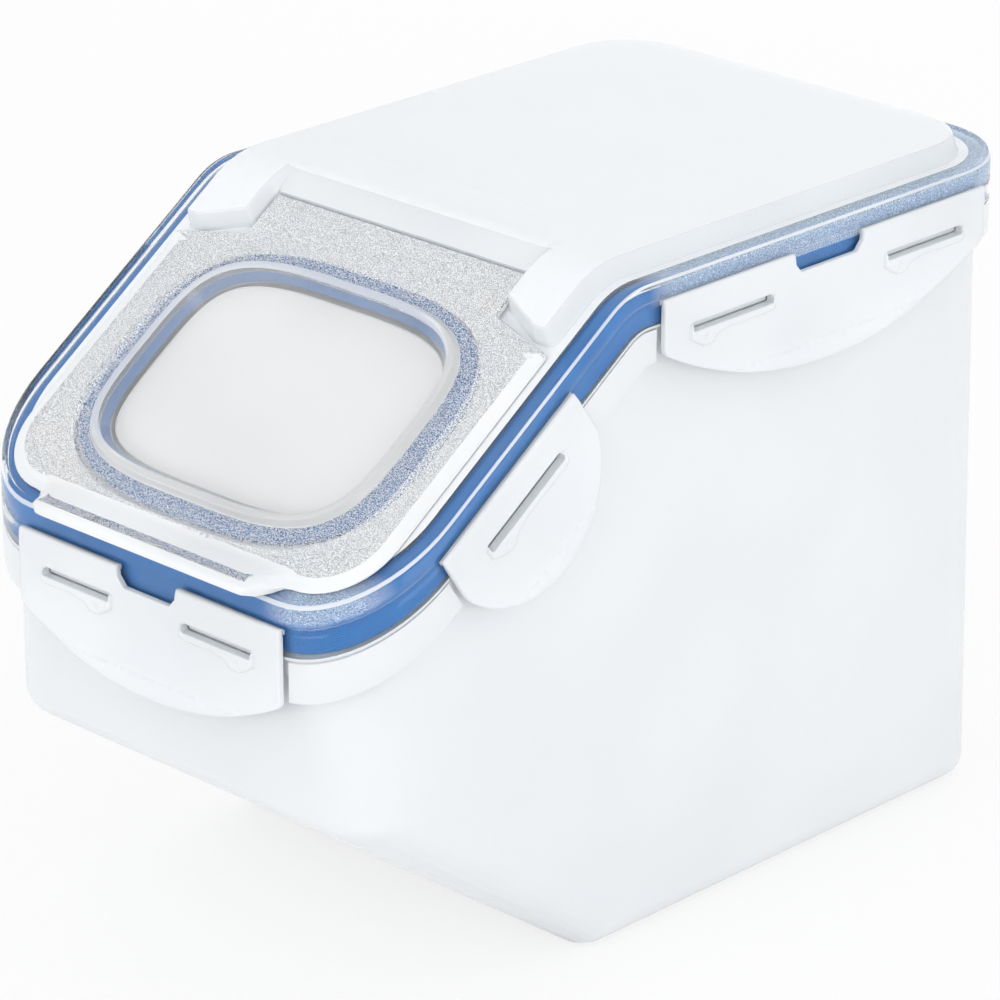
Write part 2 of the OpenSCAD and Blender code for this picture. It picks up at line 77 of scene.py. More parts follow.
DOOR_W, DOOR_LOW, DOOR_R = 135.0, SLOPE_LEN - 8.7, 20.0
DOOR_SIDE, DOOR_IN = 23.0, 17.0
FACE, BEVEL, DOOR_T = 7.4, 4.0, 1.7
DOOR_UNDER = FACE - DOOR_T
TONGUE_W, TONGUE_TOP, TONGUE_S = 91.0, 7.1, 3.0
HINGE_S = 4.1
RING_W = 6.0
WIN_W, WIN_LEN, WIN_POWER, WIN, WIN_T = 88.4, 61.6, 3.6, 4.5, 1.6
LIP_W, LIP_ROOT, LIP_OUT = 84.0, 3.8, 114.8

FLAP_T, PAD_T, GRIP_H, GRIP_T = 1.8, 0.9, 6.2, 0.6
SLOT_TOP, SLOT_H, PAD_LOW, BUMP_R = 7.6, 2.2, 12.0, 3.4
END_LEN, TOP_LEN, SLOPE_FLAP_LEN = RIM_W - 55.0, TOP_RUN - 33.2, SLOPE_LEN - 59.5
TOP_FLAP_Y, SLOPE_FLAP_S = 9.4 + TOP_LEN / 2, 27.5 + SLOPE_FLAP_LEN / 2


# ---- Coordinates --------------------------------------------------------

def together(*values):
    return np.broadcast_arrays(*(np.asarray(v, float) for v in values))


def unroll(x, t, h):
    """Points at a height h over the rim line, t along it."""
    x, t, h = together(x, t, h)
    a = np.clip((BEND_T - t) / BEND_R, 0, ANGLE)
    past = np.minimum(t - (BEND_T - BEND_R * ANGLE), 0)
    level = np.maximum(t - BEND_T, 0)
    y = BEND_T - (BEND_R + h) * np.sin(a) + past * COS + level
    z = -BEND_R + (BEND_R + h) * np.cos(a) + past * SIN
    return np.stack([x, y, z], -1)


def t_of_s(s):
    return 2 * BEND_T - BEND_R * ANGLE - s


def on_slope(x, s, h):
    x, s, h = together(x, s, h)
    return np.stack([x, -s * COS - h * SIN, -s * SIN + h * COS], -1)


def over_plan(x, y, h):
    """Points over a plan position, at a height h."""
    x, y, h = together(x, y, h)
    r = BEND_R + h
    start = BEND_T - r * SIN
    arc = -BEND_R + np.sqrt(np.maximum(r * r - (y - BEND_T) ** 2, 0))
    z = np.where(y >= BEND_T, h, np.where(y > start, arc, y * TAN + h / COS))
    return np.stack([x, y, z], -1)


def t_over_plan(y, h):
    """t of a plan position at a height h."""
    y, h = together(y, h)
    r = BEND_R + h
    start = BEND_T - r * SIN
    a = np.arcsin(np.clip((BEND_T - y) / r, -1, 1))
    z = y * TAN + h / COS
    s = -(y * COS + z * SIN)
    return np.where(y >= BEND_T, y, np.where(y > start, BEND_T - BEND_R * a, t_of_s(s)))


def placed(points):
    """From millimetres round the bend to metres in the frame."""
    return (np.asarray(points, float) + [0, BEND_Y, BACK_H]) * MM


# ---- Outlines and profiles ----------------------------------------------

RIM_TURN = 14
FINE_FROM, FINE_TO, FINE_STEP, RIM_STEP = 14, -16, 1.25, 8


def steps(a, b, size):
    return np.linspace(a, b, max(2, int(math.ceil(abs(b - a) / size)) + 1))


def grid(x0, x1, y0, y1, dx, dy):
    gx, gy = np.meshgrid(steps(x0, x1, dx), steps(y0, y1, dy))
    return np.stack([gx.ravel(), gy.ravel()], -1)


def soft(k):
    """0 to 1 with soft ends."""
    k = np.clip(k, 0, 1)
    return k * k * (3 - 2 * k)


def read(profile, at):
    """Second column of a profile where the first has the value at."""
    return np.interp(at, profile[:, 0], profile[:, 1])


def rim_loop(inset):
    """Plan outline of the rim moved inwards by inset. Its count of points is the same for every inset,
    and its steps are finer over the bend."""
    r = CORNER_R - inset
    cx = HALF - CORNER_R
    back, front = TOP_RUN - CORNER_R, -SLOPE_RUN + CORNER_R
    ys = np.concatenate([steps(back, FINE_FROM, RIM_STEP)[:-1],
                         steps(FINE_FROM, FINE_TO, FINE_STEP)[:-1],
                         steps(FINE_TO, front, RIM_STEP)])
    xs = steps(-cx, cx, RIM_STEP)
    arc = np.radians(np.linspace(0, 90, RIM_TURN + 1))[1:-1]
    along, across = r * np.cos(arc), r * np.sin(arc)
    parts = [(np.full_like(ys, cx + r), ys),
             (cx + along, front - across),
             (-xs, np.full_like(xs, front - r)),
             (-cx - across, front - along),
             (np.full_like(ys, -cx - r), ys[::-1]),
             (-cx - along, back + across),
             (xs, np.full_like(xs, back + r)),
             (cx + across, back + along)]
    return np.concatenate([np.stack(part, -1) for part in parts])


def rim_line(inset, h):
    """The same outline in (x, t), at a height h."""
    loop = rim_loop(inset)
    return np.stack([loop[:, 0], t_over_plan(loop[:, 1], h)], -1)


def along_rim(profile):
    """Loops round the rim for a section given as [(inset, height)]."""
    loops = [(rim_loop(inset), h) for inset, h in profile]
    return [over_plan(loop[:, 0], loop[:, 1], h) for loop, h in loops]


def oval(width, length, power, count):
    a = np.linspace(0, 2 * math.pi, count, endpoint=False)
    c, s = np.cos(a), np.sin(a)
    p = np.stack([width / 2 * np.sign(c) * abs(c) ** (2 / power),
                  length / 2 * np.sign(s) * abs(s) ** (2 / power)], -1)
    return even(p, count)


def even(points, count):
    """A closed line resampled to even steps."""
    p = np.vstack([points, points[:1]])
    d = np.r_[0, np.cumsum(np.linalg.norm(np.diff(p, axis=0), axis=1))]
    want = np.linspace(0, d[-1], count, endpoint=False)
    return np.stack([np.interp(want, d, p[:, i]) for i in range(2)], -1)


def corner(a, b, c):
    """Unit vectors from b to its neighbours, and half the angle between them."""
    u, v = (a - b) / np.linalg.norm(a - b), (c - b) / np.linalg.norm(c - b)
    return u, v, math.acos(np.clip(u @ v, -1, 1)) / 2


def rounded(corners, radii, turn, size):
    """A closed outline with rounded corners and points no further apart than size."""
    pts = [np.array(c, float) for c in corners]
    out = []
    for i, (b, r) in enumerate(zip(pts, radii)):
        u, v, half = corner(pts[i - 1], b, pts[(i + 1) % len(pts)])
        cut = r / math.tan(half)
        centre = b + (u + v) / np.linalg.norm(u + v) * r / math.sin(half)
        p, q = b + u * cut - centre, b + v * cut - centre
        a0 = math.atan2(p[1], p[0])
        da = (math.atan2(q[1], q[0]) - a0 + math.pi) % (2 * math.pi) - math.pi
        angles = [a0 + da * k / turn for k in range(turn + 1)]
        out += [centre + r * np.array([math.cos(a), math.sin(a)]) for a in angles]
    full = []
    for i, p in enumerate(out):
        q = out[(i + 1) % len(out)]
        k = max(1, int(math.ceil(np.linalg.norm(q - p) / size)))
        full += [p + (q - p) * j / k for j in range(k)]
    return np.array(full)


def shifted(loop, inward):
    """A closed outline moved inwards along its own normals, whichever way round it runs."""
    nxt, prv = np.roll(loop, -1, 0), np.roll(loop, 1, 0)
    tangent = nxt - prv
    tangent /= np.maximum(np.linalg.norm(tangent, axis=1, keepdims=True), 1e-9)
    area = (loop[:, 0] * nxt[:, 1] - nxt[:, 0] * loop[:, 1]).sum()
    normal = np.stack([-tangent[:, 1], tangent[:, 0]], -1) * (1 if area > 0 else -1)
    return loop + normal * inward


def depth_in(loop, points):
    """Distance of each point inside a closed outline; negative outside."""
    ends = np.roll(loop, -1, 0)
    best = np.full(len(points), 1e9)
    inside = np.zeros(len(points), bool)
    for p0, p1 in zip(loop, ends):
        d, w = p1 - p0, points - p0
        k = np.clip((w @ d) / max(d @ d, 1e-12), 0, 1)
        best = np.minimum(best, np.linalg.norm(w - k[:, None] * d, axis=1))
        crosses = (p0[1] > points[:, 1]) != (p1[1] > points[:, 1])
        at = p0[0] + (points[:, 1] - p0[1]) / (d[1] if abs(d[1]) > 1e-12 else 1e-12) * d[0]
        inside ^= crosses & (points[:, 0] < at)
    return np.where(inside, best, -best)


def clear_of(points, loops, gap):
    """Points further than gap from every loop."""
    keep = np.ones(len(points), bool)
    for loop in loops:
        keep &= abs(depth_in(loop, points)) > gap
    return points[keep]


def smooth(points, radii, turn=5):
    """An open profile with its inner corners rounded."""
    pts = [np.array(p, float) for p in points]
    out = [pts[0]]
    for a, b, c, r in zip(pts, pts[1:], pts[2:], radii):
        u, v, half = corner(a, b, c)
        cut = min(r / math.tan(half), np.linalg.norm(a - b) * 0.49, np.linalg.norm(c - b) * 0.49)
        p, q = b + u * cut, b + v * cut
        shares = np.linspace(0, 1, turn + 1)
        out += [(1 - k) ** 2 * p + 2 * k * (1 - k) * b + k * k * q for k in shares]
    out.append(pts[-1])
    return np.array(out)


# ---- Mesh building ------------------------------------------------------

# Closeness at which a sheet's points merge, in millimetres. For a finished mesh, in metres: closeness
# at which its points join, area of a sliver, and most sides of a pinhole.
MERGE = 1e-5
WELD, SLIVER, PINHOLE_SIDES = 0.004 * MM, 0.1 * MM * MM, 6


class Shell:
    """Vertices and faces of one piece, with a material number for each face."""

    def __init__(self):
        self.v, self.f, self.m = [], [], []
        self.n = 0

    def add(self, points):
        start = self.n
        self.v.append(np.asarray(points, float))
        self.n += len(points)
        return start

    def loft(self, loops, mats=0):
        """Quads between closed loops of equal length, with one material number or one for each band."""
        count = len(loops[0])
        starts = [self.add(loop) for loop in loops]
        for k, (a, b) in enumerate(zip(starts, starts[1:])):
            for i in range(count):
                j = (i + 1) % count
                self.f.append((a + i, a + j, b + j, b + i))
                self.m.append(mats if isinstance(mats, int) else mats[k])

    def sheet(self, loops, dots, place, height, mat, up, outer, holes=(), lines=()):
        """A triangulated sheet over a flat area inside outer and outside holes. Loops and lines become
        edges and dots fill it. height gives h, place the point and mat the material numbers."""
        flat, edges, start = [], [], 0
        for group, closed in ((loops, True), (lines, False)):
            for loop in group:
                count = len(loop) if closed else len(loop) - 1
                edges += [(start + i, start + (i + 1) % len(loop)) for i in range(count)]
                flat.append(loop)
                start += len(loop)
        every = [Vector(p) for p in np.concatenate([*flat, dots])]
        found = delaunay_2d_cdt(every, edges, [], 0, MERGE)
        points, tris = np.array([tuple(p) for p in found[0]]), np.array(found[2])
        mid = points[tris].mean(1)
        keep = depth_in(outer, mid) > -1e-6
        for hole in holes:
            keep &= depth_in(hole, mid) < 1e-6
        a, b, c = (points[tris[:, i]] for i in range(3))
        area = np.cross(b - a, c - a)
        keep &= abs(area) > 1e-9
        tris, mid, area = tris[keep], mid[keep], area[keep]
        start = self.add(place(points, height(points)))
        for tri, back in zip(tris, (area > 0) != up):
            face = tuple(int(start + i) for i in tri)
            self.f.append(face[::-1] if back else face)
        self.m += list(mat(mid)) if callable(mat) else [mat] * len(tris)

    def paint(self, rule):
        """Lets a rule change the material numbers by the faces' middles."""
        points = np.concatenate(self.v)
        mid = np.array([points[list(f)].mean(0) for f in self.f])
        self.m = list(rule(mid, np.array(self.m)))

    def make(self, name, body, materials, node, sharp=40):
        """The piece that stands for a CAD node. Edges sharper than sharp degrees stay crisp."""
        mesh = bpy.data.meshes.new(name)
        mesh.from_pydata(placed(np.concatenate(self.v)).tolist(), [], self.f)
        mesh.polygons.foreach_set("material_index", np.array(self.m, np.int32))
        for m in materials:
            mesh.materials.append(m)
        mesh.validate()
        clean(mesh, math.radians(sharp))
        add_piece(mesh, body, node)


def clean(mesh, sharp):
    """Joins doubled points, turns faces outwards and shades smooth except over sharp edges. Outlines
    that cross at a tight corner leave slivers: doubled ones go, and the pinholes beside them close."""
    bm = bmesh.new()
    bm.from_mesh(mesh)
    bmesh.ops.remove_doubles(bm, verts=bm.verts, dist=WELD)
    bmesh.ops.dissolve_degenerate(bm, dist=WELD / 2, edges=bm.edges)
    extra = {f for e in bm.edges if len(e.link_faces) > 2 for f in e.link_faces
             if f.calc_area() < SLIVER}
    bmesh.ops.delete(bm, geom=list(extra), context="FACES")
    bmesh.ops.holes_fill(bm, edges=[e for e in bm.edges if e.is_boundary], sides=PINHOLE_SIDES)
    bmesh.ops.recalc_face_normals(bm, faces=bm.faces)
    for f in bm.faces:
        f.smooth = True
    for e in bm.edges:
        if len(e.link_faces) == 2 and e.calc_face_angle(0) > sharp:
            e.smooth = False
    bad = sum(not e.is_manifold for e in bm.edges)
    if bad:
        print("open edges in", mesh.name, bad)
    bm.to_mesh(mesh)
    bm.free()


def add_piece(mesh, body, node):
    """Puts a mesh into the scene as the piece that stands for a CAD node."""
    piece = bpy.data.objects.new(mesh.name, mesh)
    bpy.context.scene.collection.objects.link(piece)
    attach(piece, body)
    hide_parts(node)
    return piece


# ---- Lid ----------------------------------------------------------------

# Material numbers of the lid: frosted top, clear plastic, plain walls and a less clear plastic that
# paints white highlight lines
FROST, CLEAR, EDGE, HIGHLIGHT = 0, 1, 2, 3

# The ramp between the shoulders, from the recess up to the raised top. It flattens after RAMP_EASE
# of its rise, and is frosted from RAMP_FROST_T on.
RAMP_FOOT_T, RAMP_FOOT_UP, RAMP_TOP_T, RAMP_END_T, RAMP_FROST_T = -2.84, 7.33, 2.6, 18.0, 1.9
RAMP_EASE, RAMP_EASE_BY = 0.75, 1.2
RAMP_MID_T, RAMP_CLEAR = 1.4, 5
GAP_END_T = 16.0
RAMP_ROWS = (RAMP_FOOT_T - 0.1, RAMP_FOOT_T, -2.4, -1.6, -0.6, 0.4, 1.2, RAMP_FROST_T, RAMP_TOP_T,
             3.2, 4.2, 5.6)
RECESS_DROP = 0.4
LEDGE_FROM_S = 20
GAP_X = RECESS_W / 2
WALL_OUT = 2.5
SHELF_EDGE = 2.4
RIM_GAP = 1.2

# Share of the raised top's height, by the distance inside its foot
wall_top = smooth([(-1.6, 0), (0, 0), (1.75, 1), (4.2, 1)], [0.7, 1.7], turn=6)
wall_under = smooth([(-1.2, 0), (1.5, 0), (3.0, 1), (4.6, 1)], [0.6, 1.0], turn=4)


def cap_outline():
    """Foot of the raised top in (x, t): back, sides, the shoulders' slanted fronts and their gap."""
    foot_x = HALF - CAP_FOOT
    outer, inner = t_of_s(SHOULDER_OUT + 0.5), t_of_s(SHOULDER_IN + 0.5)
    half = [(foot_x, TOP_RUN - CAP_FOOT), (foot_x, outer), (SLANT_X, outer), (GAP_X, inner),
            (GAP_X, GAP_END_T)]
    radii = [CORNER_R - CAP_FOOT, 2.6, 4.0, 2.6, 2.6]
    corners = half + [(-x, t) for x, t in half[::-1]]
    return rounded(corners, radii + radii[::-1], turn=10, size=2.0)


cap_loop = cap_outline()
ledge_loop = oval(LEDGE_W, LEDGE_LEN, SEAL_POWER, 120) + [0, t_of_s(POUR_S)]
pour_loop = oval(POUR_W, POUR_LEN, POUR_POWER, 120) + [0, t_of_s(POUR_S)]
seal_edge = rim_line(CHANNEL - 1.8, SHELF)


def lid_height(p, levels, wall):
    """Height of the lid's upper or lower face in (x, t)."""
    shelf, cap, ramp, ledge, ledge_in = levels
    x, t = p[:, 0], p[:, 1]
    between = (abs(x) < GAP_X + WALL_OUT) & (t < RAMP_END_T)
    rise = np.clip((t - RAMP_FOOT_T) / (RAMP_TOP_T - RAMP_FOOT_T), 0, 1)
    slope = ramp + (cap - ramp) * (rise - np.maximum(rise - RAMP_EASE, 0) ** 2 * RAMP_EASE_BY)
    slope = np.where(t > RAMP_TOP_T, cap, np.minimum(slope, cap))
    floor = np.where(between & (t >= RAMP_FOOT_T), slope, shelf)
    recess = between & (t < RAMP_FOOT_T) & (t > t_of_s(SHOULDER_OUT))
    floor = np.where(recess, shelf - RECESS_DROP, floor)
    h = floor + (cap - floor) * read(wall, depth_in(cap_loop, p))
    far = t < t_of_s(LEDGE_FROM_S)
    if far.any():
        e = depth_in(ledge_loop, p[far])
        h[far] = np.where(e > 0, shelf + (ledge - shelf) * np.clip(e / ledge_in, 0, 1), h[far])
    return h


def lid_sheet(shell, outer, levels, wall, up):
    """One face of the lid: the raised top, the wall round it as a band of quads, and the shelf and
    recess outside it."""
    def height(p):
        return lid_height(p, levels, wall)

    def place(p, h):
        return unroll(p[:, 0], p[:, 1], h)

    def mat(mid):
        x, t = abs(mid[:, 0]), mid[:, 1]
        between = (x < GAP_X + 1) & (t > RAMP_FOOT_T - 0.1) & (t < RAMP_END_T + 3)
        skin = np.where(depth_in(seal_edge, mid) > 0, FROST, CLEAR) if up else EDGE
        return np.where(between, np.where(t < RAMP_FROST_T, EDGE, FROST), skin)

    walls = [shifted(cap_loop, d) for d in wall[1:-1, 0]]
    loops = [outer, walls[0], ledge_loop, shifted(ledge_loop, levels[-1]), pour_loop]
    if up:
        loops.append(seal_edge)
    across = steps(-GAP_X + 0.4, GAP_X - 0.4, 4)
    lines = [np.stack([across, np.full(len(across), t)], -1) for t in RAMP_ROWS]
    wide = HALF - 4
    dots = np.concatenate([
        grid(-wide, wide, t_of_s(SLOPE_LEN - 3), -16, 5, 5),
        grid(-wide, wide, -15, 14, 5, 1.3),
        grid(-wide, wide, 16, TOP_RUN - 5, 6, 6),
    ])
    dots = dots[depth_in(outer, dots) > RIM_GAP]
    dots = dots[(abs(dots[:, 0]) >= GAP_X) | (abs(dots[:, 1] - RAMP_MID_T) >= RAMP_CLEAR)]
    outside = dots[depth_in(walls[0], dots) < -0.5]
    shell.sheet(loops, clear_of(outside, loops[2:], 0.5), place, height, mat, up, outer,
                [pour_loop, walls[0]], lines)
    inside = dots[depth_in(walls[-1], dots) > 0.8]
    shell.sheet([walls[-1]], inside, place, height, FROST if up else EDGE, up, walls[-1])
    shell.loft([place(w, height(w)) for w in walls], EDGE)


def lid_paint(mid, mats):
    """The raised top goes on over the gap between the shoulders without a wall."""
    x, y = abs(mid[:, 0]), mid[:, 1]
    seam = (x < GAP_X + WALL_OUT) & (y > 0.8) & (y < RAMP_END_T + 3)
    return np.where(seam, FROST, mats)


# Bead, skirt and the channel that holds the seal: (inset from the rim, height)
RIM_PROFILE = [
    (SHELF_EDGE, SHELF), (2.0, 5.42), (1.8, 5.55), (1.62, 5.78), (1.35, 5.92), (0.9, 5.9), (0.45, 5.8),
    (0.12, 5.5), (0, 5.1), (0, 3.2), (0, 0.9), (0.12, 0.75), (0.12, -0.75), (0, -0.9), (0, -3.5),
    (0, -5.6), (0, SKIRT_LOW + 0.4), (0.12, SKIRT_LOW + 0.12), (0.4, SKIRT_LOW),
    (SKIRT_T - 0.4, SKIRT_LOW), (SKIRT_T - 0.12, SKIRT_LOW + 0.12), (SKIRT_T, SKIRT_LOW + 0.4),
    (SKIRT_T, -1), (SKIRT_T, SHELF_LOW - 0.3), (SKIRT_T + 0.3, SHELF_LOW), (4.5, SHELF_LOW),
    (CHANNEL - 0.3, SHELF_LOW), (CHANNEL, SHELF_LOW - 0.3), (CHANNEL, CHANNEL_LOW + 0.3),
    (CHANNEL + 0.3, CHANNEL_LOW), (CHANNEL_IN - 0.3, CHANNEL_LOW), (CHANNEL_IN, CHANNEL_LOW + 0.3),
    (CHANNEL_IN, SHELF_LOW - 0.4), (CHANNEL_IN + 0.4, SHELF_LOW)]
# Bands of the profile painted as white highlight lines (the bead's outer fillet, the ridge at the hinge
# line and the skirt's lower edge), and the first band inside the channel
HIGHLIGHT_ROWS = (6, 7, 10, 15, 16, 17, 18)
INNER_ROW = 26

# Edge of the pour opening: (distance inside its outline, height)
POUR_EDGE = [(0, LEDGE), (0.3, LEDGE - 0.12), (0.45, LEDGE - 0.5), (0.45, LEDGE - LEDGE_T + 0.3),
             (0, LEDGE - LEDGE_T)]


def make_lid(materials):
    shell = Shell()
    top_levels = (SHELF, CAP, RAMP_FOOT_UP, LEDGE, 0.4)
    low_levels = (SHELF_LOW, CAP - CAP_T, RAMP_FOOT_UP - CAP_T, LEDGE - LEDGE_T, 0.5)
    lid_sheet(shell, rim_line(SHELF_EDGE, SHELF), top_levels, wall_top, True)
    lid_sheet(shell, rim_line(CHANNEL_IN + 0.4, SHELF_LOW), low_levels, wall_under, False)
    rims = [(shifted(pour_loop, inset), h) for inset, h in POUR_EDGE]
    shell.loft([unroll(loop[:, 0], loop[:, 1], h) for loop, h in rims], CLEAR)
    bands = range(len(RIM_PROFILE) - 1)
    shell.loft(along_rim(RIM_PROFILE),
               [HIGHLIGHT if k in HIGHLIGHT_ROWS else EDGE if k >= INNER_ROW else CLEAR for k in bands])
    shell.paint(lid_paint)
    shell.make("lid_shell", "lid", materials, "main_lid", sharp=50)


# ---- Door ---------------------------------------------------------------

# Material numbers of the door, after FROST and CLEAR
WINDOW, LIP_AND_HIGHLIGHT, RING_SKIN, DISH_SKIN, STIPPLE = 2, 3, 4, 5, 6

# Profiles of the finger lip: (s, height over the face or the underside)
lip_top = smooth([(98, 0), (DOOR_LOW - LIP_ROOT, 0), (111.6, 4.15), (113.3, 4.3), (114.5, 3.1),
                  (115.0, 1.9)], [5, 1.6, 1.2, 0.8])
lip_low = smooth([(98, 0), (DOOR_LOW - 0.8, 0), (111.2, 1.25), (114.4, 3.6), (115.0, 3.7)],
                 [2.0, 1.0, 0.4], turn=4)

# Profiles of the raised ring and the sunk window: (distance inside the ring, height)
WIN_SINK, WIN_UNDER = WIN - FACE, WIN - WIN_T - DOOR_UNDER
ring_top = smooth([(-0.9, 0), (0, 0), (1.0, 1.9), (2.2, 2.1), (3.1, 1.75), (6.0, WIN_SINK),
                   (7.4, WIN_SINK)], [0.5, 0.6, 0.9, 0.7, 0.8], turn=4)
ring_under = smooth([(-1, 0), (1.2, 0), (4.1, WIN_UNDER), (6.5, WIN_UNDER)], [0.6, 0.6], turn=4)
# Points of the profile at which the dish's wall starts and ends, and the window starts
DISH_TOP, DISH_LOW, WINDOW_IN = ring_top[[19, 22, 24], 0]

# Height of the face's edge by the distance inside its outline, beside the window and the tongue
BEVEL_EDGE = np.array([(0, -1.45), (0.25, -1.2), (0.6, -1.06), (BEVEL - 0.5, -0.1), (BEVEL + 0.4, 0)])
BLUNT_EDGE = np.array([(0, -0.5), (0.2, -0.15), (0.6, 0)])
FACE_IN = BEVEL - 0.3
STRIP_S, STRIP_W = LIP_OUT - 5.5, 2.7


def lip_share(x):
    """1 along the finger lip, falling softly to 0 at its ends."""
    return soft((LIP_W / 2 + 4.5 - abs(x)) / 9)


def door_outline():
    """Outline in (x, -s), with the tongue above and the finger lip below."""
    half, tongue = DOOR_W / 2, TONGUE_W / 2
    low, high = -DOOR_LOW, -TONGUE_S
    corners = [(half, -DOOR_SIDE), (tongue, -DOOR_IN), (tongue, high), (-tongue, high),
               (-tongue, -DOOR_IN), (-half, -DOOR_SIDE), (-half, low), (half, low)]
    radii = [1.6, 1.2, 0.6, 0.6, 1.2, 1.6, DOOR_R, DOOR_R]
    loop = rounded(corners, radii, turn=12, size=2.4)
    x, y = loop[:, 0], loop[:, 1].copy()
    bottom = y < low + 0.4
    y[bottom] -= (lip_share(x) * (LIP_OUT - DOOR_LOW))[bottom]
    return np.stack([x, y], -1)


door_loop = door_outline()
ring_loop = oval(WIN_W + 2 * RING_W, WIN_LEN + 2 * RING_W, WIN_POWER, 132) - [0, POUR_S]
# Stippled band of the face over the seal
halo_loop = shifted(ring_loop, -4.8) + [1.6, -1.6]


def door_top(p):
    x, s = p[:, 0], -p[:, 1]
    d = depth_in(door_loop, p)
    blunt = read(BLUNT_EDGE, d)
    h = FACE + blunt + (read(BEVEL_EDGE, d) - blunt) * soft((s - DOOR_SIDE + 1.0) / 6)
    tongue = (s < DOOR_IN + 4) & (abs(x) < TONGUE_W / 2 + 1)
    h = np.where(tongue, h - (FACE - TONGUE_TOP) * soft((DOOR_IN + 3 - s) / 5), h)
    lip = lip_share(x)
    h = np.where(s > DOOR_LOW - BEVEL - 4, h * (1 - lip) + (FACE + read(lip_top, s)) * lip, h)
    return h + read(ring_top, depth_in(ring_loop, p))


def door_under(p):
    lip = read(lip_low, -p[:, 1]) * lip_share(p[:, 0])
    return DOOR_UNDER + lip + read(ring_under, depth_in(ring_loop, p))


def door_mats(mid):
    e, d, s = depth_in(ring_loop, mid), depth_in(door_loop, mid), -mid[:, 1]
    lip = lip_share(mid[:, 0])
    face = (d > FACE_IN) | (s < DOOR_SIDE + 1)
    face &= (s < DOOR_LOW - LIP_ROOT - 0.5) | (lip < 0.02)
    strip = (s > STRIP_S) & (s < STRIP_S + STRIP_W) & (lip > 0.98)
    # The bevelled edge and the lip get the lip plastic, whiter and less clear: on the bevel it is a
    # painted highlight
    flat = np.where(strip, STIPPLE, np.where(face, FROST, LIP_AND_HIGHLIGHT))
    dish = np.where((e > DISH_TOP) & (e < DISH_LOW), DISH_SKIN, RING_SKIN)
    dish = np.where(e > WINDOW_IN, WINDOW, dish)
    return np.where(e > -0.2, dish, np.where(depth_in(halo_loop, mid) > 0, STIPPLE, flat))


def make_door(materials):
    def place(p, h):
        return on_slope(p[:, 0], -p[:, 1], h)

    shell = Shell()
    base = [shifted(door_loop, d) for d in (0.25, 0.6, FACE_IN)]
    rings = [halo_loop] + [shifted(ring_loop, d) for d in ring_top[:, 0]]
    face_x, lip_x, tongue_x = DOOR_W / 2 - 1.5, LIP_W / 2 + 5, TONGUE_W / 2 - 2
    dots = np.concatenate([
        grid(-face_x, face_x, -DOOR_LOW + 1, -3, 4.5, 4.5),
        grid(-lip_x, lip_x, -LIP_OUT + 1.0, -DOOR_LOW + LIP_ROOT + 5, 2.2, 0.9),
        grid(-tongue_x, tongue_x, -DOOR_IN - 4, -HINGE_S, 4.5, 1.2),
    ])
    dots = dots[depth_in(door_loop, dots) > 0.9]
    upper = clear_of(dots, [base[-1]] + rings, 0.45)
    shell.sheet([door_loop] + base + rings, upper, place, door_top, door_mats, True, door_loop)
    unders = [shifted(ring_loop, d) for d in ring_under[:, 0]]
    lower = clear_of(dots, unders, 0.45)
    shell.sheet([door_loop] + unders, lower, place, door_under, CLEAR, False, door_loop)
    top, under = door_top(door_loop), door_under(door_loop)
    shell.loft([place(door_loop, top + (under - top) * k) for k in (0, 0.5, 1)], LIP_AND_HIGHLIGHT)
    shell.make("door_shell", "door", materials, "flip_door")


# ---- Flaps --------------------------------------------------------------

# Each flap has a hinge line of its own, with x along it, y up and the third axis outwards.
PAD_EDGE = np.array([(0, 0), (0.25, 0.75), (0.7, 1)])
SLOT_EDGE = np.array([(0, 0.25), (0.2, 0.06), (0.4, 0)])
DIMPLE_R, DIMPLE_DEEP = 0.9, 0.3
GRIP_EDGE, NOTCH_DEEP, ROLL_SHARE = 1.1, 4.5, 0.98


def flap_outline(length, side, depth, notch):
    """A flap's outline: straight ends, a curved lower edge and a straight hinge edge with its notch."""
    sag = depth - side
    r = (length * length / 4 + sag * sag) / (2 * sag)
    top, end = FLAP_T / 2, length / 2
    a = math.asin(end / r)
    arc = [(r * math.sin(k), r - depth - r * math.cos(k)) for k in np.linspace(a, -a, 41)[1:-1]]
    corners = [(end, top), (end, -side)] + arc + [(-end, -side), (-end, top)]
    radii = [0.5, 3.0] + [0.01] * len(arc) + [3.0, 0.5]
    if notch:
        n, deep = notch / 2, NOTCH_DEEP
        left = [(-n, top), (-n + 0.4, -deep + 2.4), (-n + 2.6, -deep)]
        corners += left + [(-x, y) for x, y in left[::-1]]
        radii += [0.3, 0.8, 0.8, 0.8, 0.8, 0.3]
    return rounded(corners, radii, turn=5, size=2.2)


def pad_outline(u, length, side):
    """Raised pad round a slot's lower side, with its wavy lower edge and bump on the given side."""
    end, top, low = length / 2 + 0.9, -SLOT_TOP - 0.2, -PAD_LOW
    bump = length / 2 - 1.5 * BUMP_R
    pts = [(-end, top), (-end, low + 0.5), (-length / 2 + 1.5, low), (bump - 9, low + 0.2),
           (bump - 4.4, low - 0.5), (bump - 2.2, low - 2.5), (bump + 0.6, low - 2.75),
           (bump + 2.9, low - 1.6), (end, low + 0.3), (end, top)]
    loop = rounded(pts, [0.5, 1.2, 1.5, 2.5, 2.2, 1.2, 1.4, 1.2, 1.2, 0.5], turn=4, size=1.6)
    return loop * [side, 1] + [u, 0]


def slot_outline(u, length):
    a, top, low = length / 2, -SLOT_TOP, -SLOT_TOP - SLOT_H
    pts = [(u - a, low), (u + a, low), (u + a, top), (u - a, top)]
    return rounded(pts, [0.8] * 4, turn=4, size=1.6)


